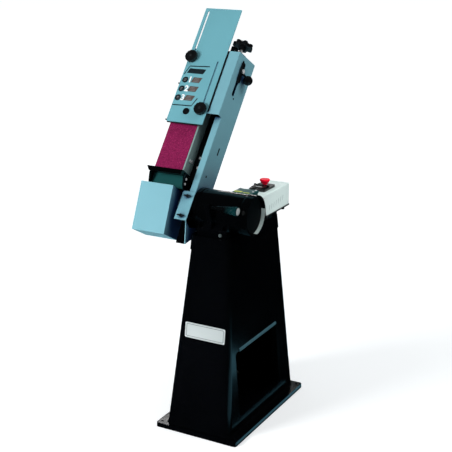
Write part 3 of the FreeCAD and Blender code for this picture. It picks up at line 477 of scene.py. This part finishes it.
def guard_print():
    """Printed panel on the sliding guard: an outline, three numbered rows and a plain heading bar."""
    low = arm_box("guard_plate")[0]
    place = frame_matrix(arm_point(low.x, low.y - 0.05 * MM, low.z), ACROSS, ALONG)
    slant = 0.36

    dark = bmesh.new()
    line = 4.4 * MM
    upper = [(6 * MM, 203 * MM), (20 * MM, 240 * MM), (106 * MM, 244 * MM)]
    lower = [(2 * MM, 70 * MM), (85 * MM, 72 * MM), (100 * MM, 106 * MM)]
    for points in (upper, lower):
        add_slab(dark, stroke(points, line), DECAL_T, place)
    add_slab(dark, round_rect(56 * MM, 220 * MM, 72 * MM, 21 * MM, 1.5 * MM, 4, slant), DECAL_T, place)
    rows = [(20 * MM, 180 * MM), (17.5 * MM, 141 * MM), (15 * MM, 102 * MM)]
    for x, y in rows:
        add_slab(dark, disc_outline(x, y, 13 * MM), DECAL_T, place)
    to_object("guard_print_dark", dark, INKS["dark"], "belt_guard")

    brown = bmesh.new()
    for x, y in rows:
        panel = round_rect(x + 49 * MM, y + 2 * MM, 38 * MM, 23 * MM, 1.5 * MM, 4, slant)
        add_slab(brown, panel, DECAL_T, place)
    to_object("guard_print_brown", brown, INKS["brown"], "belt_guard")

    pale = bmesh.new()
    for x, y in rows:
        bars = [(-5, 5, 3, 1.5), (-5, 3, -3, 1.5)]
        bars += [(35 + 2 * k, 60 - 2 * k, 2 + 6 * (k - 1), 1.1) for k in range(3)]
        for start, end, level, width in bars:
            line = [(x + start * MM, y + level * MM), (x + end * MM, y + level * MM)]
            add_slab(pale, stroke(line, width * MM), 2 * DECAL_T, place)
    to_object("guard_print_lines", pale, INKS["tan"], "belt_guard")

    for index, (x, y) in enumerate(rows):
        numeral = bpy.data.curves.new(f"row_number_{index + 1}", "FONT")
        numeral.body = str(index + 1)
        numeral.size = 34 * MM
        numeral.align_x = "CENTER"
        numeral.align_y = "CENTER"
        numeral.extrude = DECAL_T
        numeral.offset = 1.2 * MM
        piece = shown(f"row_number_{index + 1}", numeral)
        piece.matrix_world = place @ Matrix.Translation((x + 21.0 * MM, y + 1 * MM, 2.2 * DECAL_T))
        numeral.materials.append(INKS["white"])
        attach(piece, "belt_guard")


def guard_clips():
    """Two small black edge clips on the guard plate's left edge."""
    low = arm_box("guard_plate")[0]
    bm = bmesh.new()
    for l in (low.z + 1 * MM, low.z + 158 * MM):
        outline = round_rect(0.0, 0.0, 6 * MM, 5 * MM, 2 * MM)
        place = frame_matrix(arm_point(low.x - 1.5 * MM, low.y - 0.2 * MM, l + 4 * MM), ACROSS, ALONG)
        add_slab(bm, outline, 2 * MM, place)
    to_object("guard_edge_clips", bm, FINISHES["black_plastic"], "belt_guard")


def knob_screws():
    """Blackened cap screw in the middle of each knurled knob."""
    for name in ("guard_knob_upper", "guard_knob_lower"):
        low, high = arm_box(name)
        centre = arm_point((low.x + high.x) / 2, low.y, (low.z + high.z) / 2)
        profile = [(0.0, 0.0), (5.2, 0.0), (5.2, 1.2), (4.6, 1.9), (2.6, 2.1), (2.6, 0.9), (0.0, 0.9)]
        revolve(name + "_screw", [(r * MM, h * MM) for r, h in profile], centre - INTO * 0.05 * MM, -INTO,
                INKS["recess"], name, 32)


def lid_stickers():
    """Two plain yellow stickers on the terminal box lid, near its front edge. They carry bars only."""
    low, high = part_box("terminal_box_lid")
    field, bars = bmesh.new(), bmesh.new()
    for x, y, w, h in ((20.0, 13.0, 30.0, 15.0), (56.0, 9.0, 24.0, 9.0)):
        at = Vector((low.x + x * MM, low.y + y * MM, high.z + 0.03 * MM))
        place = frame_matrix(at, ACROSS, BACKWARD)
        add_slab(field, round_rect(0.0, 0.0, w * MM, h * MM, 1.2 * MM), DECAL_T, place)
        for k in (-1, 0, 1):
            level = k * h * 0.26 * MM
            start, end = -w * 0.36 * MM, (w * 0.36 - 3 * abs(k)) * MM
            add_slab(bars, stroke([(start, level), (end, level)], 1.0 * MM), 1.6 * DECAL_T, place)
    to_object("lid_stickers", field, INKS["yellow"], "stand")
    to_object("lid_sticker_bars", bars, INKS["dark"], "stand")


def handle_cap():
    """Pale plug in the clamp handle's outer end."""
    low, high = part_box("clamp_handle")
    centre = Vector((high.x, (low.y + high.y) / 2, (low.z + high.z) / 2))
    profile = [(0.0, -0.2), (13.2, -0.2), (13.2, 0.4), (12.0, 0.9), (0.0, 1.1)]
    revolve("handle_cap", [(a * MM, b * MM) for a, b in profile], centre, ACROSS,
            FINISHES["flap_grey"], "clamp_handle")


def cup_liner():
    """Pale lining inside the lower rear part of the disc guard's open rim."""
    low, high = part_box("disc_guard_cup")
    axis = Vector((0.0, (low.y + high.y) / 2, (low.z + high.z) / 2))
    bm = bmesh.new()
    patch(bm, axis, 71.2 * MM, high.x - 15 * MM, high.x - 0.5 * MM, 82.0, 172.0, 30, 0.7 * MM)
    to_object("cup_liner", bm, FINISHES["switch_grey"], "stand")


def patch(bm, axis, radius, x0, x1, a0, a1, steps=8, thick=0.06 * MM):
    """Curved slab about an axis along X, between two angles measured from the top towards the back."""
    rows = []
    for r in (radius, radius + thick):
        rows.append([[bm.verts.new(axis + Vector((x, r * math.sin(a), r * math.cos(a)))) for x in (x0, x1)]
                     for a in (math.radians(a0 + (a1 - a0) * i / steps) for i in range(steps + 1))])
    inner, outer = rows
    for i in range(steps):
        bm.faces.new((outer[i][0], outer[i][1], outer[i + 1][1], outer[i + 1][0]))
        bm.faces.new((inner[i][0], inner[i + 1][0], inner[i + 1][1], inner[i][1]))
        for side in (0, 1):
            bm.faces.new((inner[i][side], outer[i][side], outer[i + 1][side], inner[i + 1][side]))
    for i in (0, steps):
        bm.faces.new((inner[i][0], inner[i][1], outer[i][1], outer[i][0]))


def panel_hole_painted_shade():
    """Black sheets set back inside the side panel's small holes and slot: painted shade that keeps the openings
    dark.
    """
    skin = arm_box("arm_panel")[1].x - 1.2 * MM
    bm = bmesh.new()
    for n, l, w, h in ((-39, 108, 9.6, 9.6), (-35, 440, 8.6, 8.6), (-13, 224, 8.6, 31.6)):
        place = frame_matrix(arm_point(skin, n * MM, l * MM), INTO, ALONG)
        add_slab(bm, round_rect(0.0, 0.0, w * MM, h * MM, min(w, h) * 0.49 * MM, 6), 0.8 * MM, place)
    to_object("panel_hole_painted_shade", bm, FINISHES["cable_rubber"], "arm")


def guard_trim():
    """Black strip beside the sliding plate, painted shade for the shadowed gap at its edge, and a wiper seal
    behind its lower edge.
    """
    low, high = arm_box("guard_plate")
    cover_low, cover_high = arm_box("upper_cover")
    # Painted shade: a black strip along the shadowed gap at the plate's right edge.
    strip = bmesh.new()
    face = arm_point(high.x + 3.4 * MM, cover_low.y, (cover_low.z + cover_high.z) / 2 - 8 * MM)
    length = cover_high.z - cover_low.z - 30 * MM
    add_slab(strip, round_rect(0.0, 0.0, 5.6 * MM, length, 1.2 * MM), 2.0 * MM,
             frame_matrix(face, ACROSS, ALONG))
    to_object("guard_gap_shade_strip", strip, FINISHES["black_plastic"], "arm")
    seal = bmesh.new()
    middle = arm_point((low.x + high.x) / 2, high.y + 3.0 * MM, low.z - 1.0 * MM)
    add_slab(seal, round_rect(0.0, 0.0, high.x - low.x - 6 * MM, 5.0 * MM, 1 * MM), 3.2 * MM,
             frame_matrix(middle, ACROSS, ALONG))
    to_object("guard_wiper_seal", seal, FINISHES["black_plastic"], "belt_guard")


def hatch_lip():
    """Small fold that stands proud along the hatch's upper edge, in teal enamel that is a painted highlight where
    the fold catches light on the black stand.
    """
    near = [v.co for v in NODES["stand_column"].data.vertices if abs(v.co.z - HATCH_TOP) < 4 * MM]
    face = max(p.x for p in near)
    outline = [(-1.0, -6.0), (3.0, -6.0), (3.6, -3.0), (2.8, 3.0), (-1.0, 6.0)]
    bm = bmesh.new()
    place = frame_matrix(Vector((face, HATCH_LIP_LENGTH / 2, HATCH_TOP)), ACROSS, UPWARD)
    add_slab(bm, [(x * MM, z * MM) for x, z in outline], HATCH_LIP_LENGTH, place)
    to_object("hatch_lip", bm, INKS["lip"], "stand")


def switch_louvres():
    """Short slots in the switch box's right side, drawn flat in a darker grey: painted shade standing in for the
    hollow of each slot.
    """
    low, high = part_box("switch_box_shell")
    bm = bmesh.new()
    for k in range(7):
        y = low.y + (62 + 19 * k) * MM
        z = low.z + (26 + 2.0 * k) * MM
        place = frame_matrix(Vector((high.x + 0.03 * MM, y, z)), BACKWARD, UPWARD)
        add_slab(bm, round_rect(0.0, 0.0, 2.4 * MM, 20 * MM, 1.1 * MM, 4, 0.25), 0.08 * MM, place)
    to_object("switch_box_louvres", bm, INKS["slot_painted_shade"], "stand")


def front_face_point(x, z):
    """Place on the column's front face at a height, and the way up along that face."""
    places = [v.co for v in NODES["stand_column"].data.vertices]
    bottom = [p for p in places if p.z < min(q.z for q in places) + 6 * MM]
    top = [p for p in places if p.z > max(q.z for q in places) - 6 * MM]
    z0, z1 = min(p.z for p in bottom), max(p.z for p in top)
    y0, y1 = min(p.y for p in bottom), min(p.y for p in top)
    share = (z - z0) / (z1 - z0)
    return Vector((x, y0 + (y1 - y0) * share, z)), Vector((0.0, y1 - y0, z1 - z0)).normalized()


def blank_nameplate():
    """Plain blank plate with four rivets on the column's front. It carries no mark."""
    centre, up = front_face_point(NAMEPLATE_X, NAMEPLATE_Z)
    out = ACROSS.cross(up)
    place = frame_matrix(centre + out * 0.1 * MM, ACROSS, up)
    bm = bmesh.new()
    add_slab(bm, round_rect(0.0, 0.0, 168 * MM, 58 * MM, 6 * MM), 0.8 * MM, place)
    piece = to_object("blank_nameplate", bm, FINISHES["plate_grey"], "stand")
    bevel = piece.modifiers.new("soft", "BEVEL")
    bevel.width = 0.25 * MM
    border = bmesh.new()
    outer = round_rect(0, 0, 156 * MM, 47 * MM, 4 * MM)
    inner = round_rect(0, 0, 153 * MM, 44 * MM, 3 * MM)
    count = len(outer)
    top = place @ Matrix.Translation((0, 0, 0.82 * MM))
    for i in range(count):
        j = (i + 1) % count
        add_slab(border, [outer[i], outer[j], inner[j], inner[i]], 0.05 * MM, top)
    to_object("nameplate_border", border, INKS["dark"], "stand")
    for index, (sx, sy) in enumerate(((1, 1), (1, -1), (-1, 1), (-1, -1))):
        at = place @ Vector((sx * 80 * MM, sy * 25 * MM, 0.8 * MM))
        profile = [(2.4, 0.0), (2.2, 0.6), (1.5, 1.1), (0.0, 1.3)]
        revolve(f"nameplate_rivet_{index}", [(a * MM, b * MM) for a, b in profile], at, out,
                FINISHES["zinc_steel"], "stand", 20)


def foot_weld():
    """Fillet weld bead where the column's walls meet the base plate."""
    low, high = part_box("stand_column")
    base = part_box("base_plate")[1].z
    outline = round_rect(0.0, (low.y + high.y) / 2, high.x - low.x, high.y - low.y, COLUMN_CORNER, 8)
    outline = subdivided(outline, 6 * MM)
    bead = 3.4 * MM
    bm = bmesh.new()
    rings = []
    count = len(outline)
    for i, (x, y) in enumerate(outline):
        before, after = Vector(outline[i - 1]), Vector(outline[(i + 1) % count])
        side = (after - before).normalized()
        side = Vector((side.y, -side.x))
        swell = bead * (1.0 + 0.13 * math.sin(i * 1.9))
        rings.append([bm.verts.new((x + side.x * swell * math.cos(a), y + side.y * swell * math.cos(a),
                                    base + swell * math.sin(a))) for a in (0.0, 0.45, 0.9, math.pi / 2)])
    for i in range(count):
        j = (i + 1) % count
        for k in range(3):
            bm.faces.new((rings[i][k], rings[j][k], rings[j][k + 1], rings[i][k + 1]))
    to_object("foot_weld", bm, FINISHES["stand_paint"], "stand", smooth=True)


def subdivided(outline, step):
    """The same outline with points about one step apart."""
    points = []
    for i, (x, y) in enumerate(outline):
        nx, ny = outline[(i + 1) % len(outline)]
        parts = max(1, int(math.hypot(nx - x, ny - y) / step))
        points += [(x + (nx - x) * k / parts, y + (ny - y) * k / parts) for k in range(parts)]
    return points


# ---- studio ----
# world strength for lighting, for the camera and for reflections, then the floor's glow near and far
AMBIENT, BACKDROP, MIRRORED = 0.26, 1.15, 0.015
NEAR_GLOW, FAR_GLOW = 0.42, 0.8
NEAR_REACH, FAR_REACH = 0.9, 4.0
CAMERA_PLACE = (1.8044, -3.3166, 1.92425)
CAMERA_DOWN, CAMERA_AROUND, CAMERA_LENS = 17.37, 28.9, 84.28


def floor_paint():
    """Pale floor that reads white in the picture and stays dark in the object's reflections."""
    s = Shader("pale_floor")
    s.set(Base_Color=(0.9, 0.91, 0.92, 1.0), Roughness=0.7, Specular_IOR_Level=0.0)
    path = s.node("ShaderNodeLightPath")
    reach = s.node("ShaderNodeVectorMath", operation="LENGTH")
    s.link(s.place, reach.inputs[0])
    glow = s.node("ShaderNodeMath", operation="MULTIPLY")
    s.link(path.outputs["Is Camera Ray"], glow.inputs[0])
    s.link(s.ramp(reach.outputs["Value"], NEAR_REACH, FAR_REACH, NEAR_GLOW, FAR_GLOW), glow.inputs[1])
    s.link(glow.outputs[0], s.bsdf.inputs["Emission Strength"])
    s.bsdf.inputs["Emission Color"].default_value = (1.0, 1.0, 1.0, 1.0)
    dark = s.node("ShaderNodeBsdfDiffuse", Color=(0.0, 0.0, 0.0, 1.0))
    choice = s.node("ShaderNodeMixShader")
    s.link(path.outputs["Is Glossy Ray"], choice.inputs["Fac"])
    s.link(s.bsdf.outputs["BSDF"], choice.inputs[1])
    s.link(dark.outputs["BSDF"], choice.inputs[2])
    s.link(choice.outputs["Shader"], s.tree.nodes["Material Output"].inputs["Surface"])
    return s.material


def reflector(name, x0, x1, y0, y1):
    """Card lying on the floor that only shows in the machine's reflections."""
    mesh = bpy.data.meshes.new(name)
    height = 4 * MM
    corners = [(x0, y0, height), (x1, y0, height), (x1, y1, height), (x0, y1, height)]
    mesh.from_pydata(corners, [], [(0, 1, 2, 3)])
    card = shown(name, mesh)
    s = Shader(name)
    s.set(Base_Color=(0.0, 0.0, 0.0, 1.0), Emission_Color=linear(120, 190, 214), Emission_Strength=1.0)
    mesh.materials.append(s.material)
    card.visible_camera = False
    card.visible_diffuse = False
    card.visible_shadow = False


def sky():
    """World light, weaker in reflections so that black paint stays black."""
    world = bpy.data.worlds.new("studio")
    bpy.context.scene.world = world
    world.use_nodes = True
    tree = world.node_tree
    background = tree.nodes["Background"]
    background.inputs["Color"].default_value = (0.86, 0.96, 1.0, 1.0)
    path = tree.nodes.new("ShaderNodeLightPath")
    strength = tree.nodes.new("ShaderNodeMix")
    strength.inputs["A"].default_value = AMBIENT
    strength.inputs["B"].default_value = BACKDROP
    tree.links.new(path.outputs["Is Camera Ray"], strength.inputs["Factor"])
    mirror = tree.nodes.new("ShaderNodeMix")
    tree.links.new(path.outputs["Is Glossy Ray"], mirror.inputs["Factor"])
    tree.links.new(strength.outputs[0], mirror.inputs["A"])
    mirror.inputs["B"].default_value = MIRRORED
    tree.links.new(mirror.outputs[0], background.inputs["Strength"])


def stage_floor():
    """Wide pale floor under the machine."""
    half = 40.0
    mesh = bpy.data.meshes.new("floor")
    corners = [(-half, -half, 0.0), (half, -half, 0.0), (half, half, 0.0), (-half, half, 0.0)]
    mesh.from_pydata(corners, [], [(0, 1, 2, 3)])
    floor = shown("floor", mesh)
    mesh.materials.append(floor_paint())


def aimed(name, light, place, target):
    """Light in the scene, pointed at a target."""
    light_object = bpy.data.objects.new(name, light)
    light_object.location = place
    aim = Vector(target) - light_object.location
    light_object.rotation_euler = aim.to_track_quat("-Z", "Y").to_euler()
    bpy.context.scene.collection.objects.link(light_object)
    return light_object


def lamp(name, place, target, size, power, mirrored=False, tall=None):
    """Soft area light that is itself unseen: it lights surfaces, or shows only in reflections."""
    light = bpy.data.lights.new(name, "AREA")
    light.shape = "RECTANGLE" if tall else "DISK"
    light.size = size
    if tall:
        light.size_y = tall
    light.energy = power
    lamp_object = aimed(name, light, place, target)
    lamp_object.visible_camera = False
    lamp_object.visible_glossy = mirrored
    lamp_object.visible_diffuse = not mirrored


def studio():
    """Floor, lights and camera."""
    scene = bpy.context.scene
    scene.view_settings.view_transform = "Standard"
    sky()
    stage_floor()
    reflector("reflector_right", 0.45, 1.5, -0.9, 0.6)
    reflector("reflector_back", -0.9, 0.2, 0.55, 1.9)
    reflector("reflector_foot", 0.173, 0.192, -0.29, 0.31)

    middle = (0.0, 0.0, 0.8)
    lamp("key", (-1.8, -2.8, 2.1), middle, 1.4, 96.0)
    lamp("upper_right", (1.0, 0.5, 2.7), (0.0, 0.15, 1.0), 0.9, 17.0)
    lamp("back", (0.6, 2.6, 2.8), middle, 1.6, 20.0)
    lamp("bounce", (-0.5, -0.95, 0.05), (-0.23, -0.1, 0.7), 0.5, 8.0)
    lamp("edge_glint", (-1.16, 2.08, 1.36), (0.0, -0.07, 0.82), 1.0, 2.2, True, 0.08)
    accent = bpy.data.lights.new("accent", "SPOT")
    accent.energy, accent.spot_size, accent.spot_blend = 62.0, math.radians(11.0), 0.6
    accent.shadow_soft_size = 0.12
    aimed("accent", accent, (1.9, -0.5, 1.75), (0.06, 0.24, 0.83)).visible_glossy = False

    camera = bpy.data.cameras.new("camera")
    camera.lens = CAMERA_LENS
    camera.sensor_width = 36.0
    camera_object = shown("camera", camera)
    camera_object.location = CAMERA_PLACE
    camera_object.rotation_euler = (math.radians(90.0 - CAMERA_DOWN), 0.0, math.radians(CAMERA_AROUND))
    scene.camera = camera_object


# ---- build ----
FINISHES = make_finishes()
INKS = {
    "dark": printed("ink_dark", (22, 34, 40)),
    "brown": printed("ink_brown_grey", (92, 80, 76)),
    "tan": printed("ink_pale", (150, 146, 146)),
    "white": printed("ink_white", (250, 250, 250)),
    "yellow": printed("sticker_yellow", (214, 222, 92)),
    # Painted shade for the switch box's louvre slots.
    "slot_painted_shade": printed("slot_painted_shade", (150, 168, 166), 0.6),
    # Dark ink: painted shade in the screws' cross slots, and the own colour of the blackened knob screws.
    "recess": printed("recess_dark", (40, 42, 44), 0.6),
    # The hatch lip's teal is a painted highlight on the black stand paint.
    "lip": enamel("lip_painted_highlight", (70, 112, 124), 0.4, (96, 112, 118)),
}
dress_nodes(FINISHES)
guard_print()
guard_clips()
knob_screws()
lid_stickers()
handle_cap()
cup_liner()
panel_hole_painted_shade()
guard_trim()
hatch_lip()
switch_louvres()
blank_nameplate()
foot_weld()
cross_recesses("small_screws", "stand", (ACROSS, BACKWARD, UPWARD))
cross_recesses("arm_screws", "arm", (ACROSS, INTO, ALONG))
studio()
